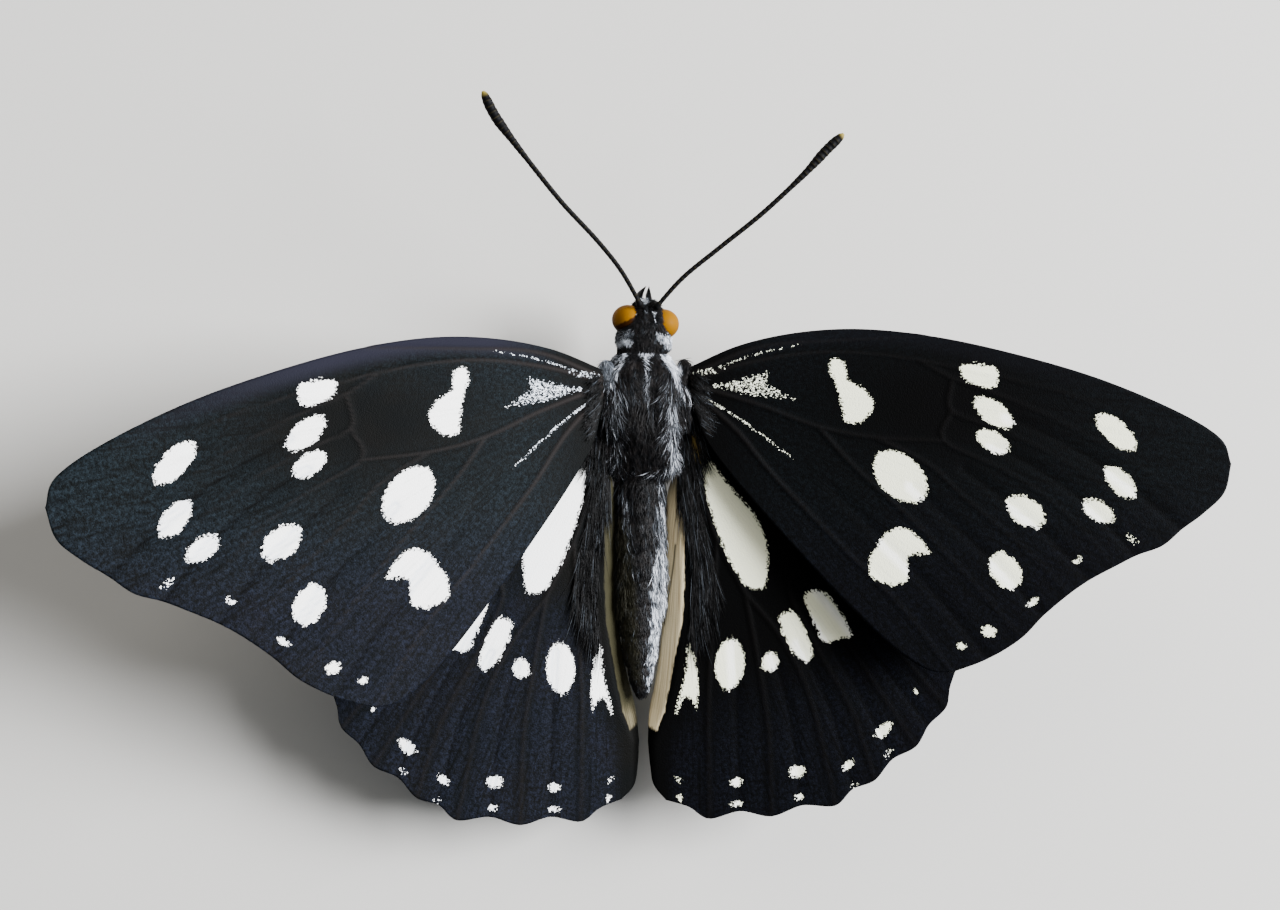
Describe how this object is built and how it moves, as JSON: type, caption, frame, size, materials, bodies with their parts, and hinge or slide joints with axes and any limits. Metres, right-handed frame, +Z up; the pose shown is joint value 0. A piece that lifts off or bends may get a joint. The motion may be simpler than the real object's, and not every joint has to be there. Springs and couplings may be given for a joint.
{
  "type": "butterfly, hestina japonica, wings spread",
  "caption": "Life-size butterfly at rest on its legs, wings spread in a shallow V, with raised veins, clubbed feelers and tan inner folds along the abdomen.",
  "frame": {"origin": "on the floor under the middle of the whole animal's box, feet on z = 0", "axes": "+X to the butterfly's right across the wingspan, +Y towards its head, +Z up"},
  "size_m": [0.08, 0.0506, 0.0189],
  "materials": {
    "wing_scales": "blue-black velvety scales with white spots, slightly glossy",
    "body_scales": "black and bluish grey hair over dark cuticle",
    "eye": "orange faceted eye, glossy",
    "antenna": "black with a yellowish tip",
    "palp": "whitish scales with a black tip",
    "proboscis": "amber cuticle",
    "leg": "dark brown cuticle with pale scales"
  },
  "bodies": {
    "root": {"forewing_left": "wing_scales", "forewing_right": "wing_scales", "hindwing_left": "wing_scales", "hindwing_right": "wing_scales", "head": "body_scales", "thorax": "body_scales", "abdomen": "body_scales", "eye_left": "eye", "eye_right": "eye", "antenna_left": "antenna", "antenna_right": "antenna", "palp_left": "palp", "palp_right": "palp", "proboscis": "proboscis", "foreleg_left": "leg", "foreleg_right": "leg", "midleg_left": "leg", "midleg_right": "leg", "hindleg_left": "leg", "hindleg_right": "leg"}
  },
  "joints": []
}
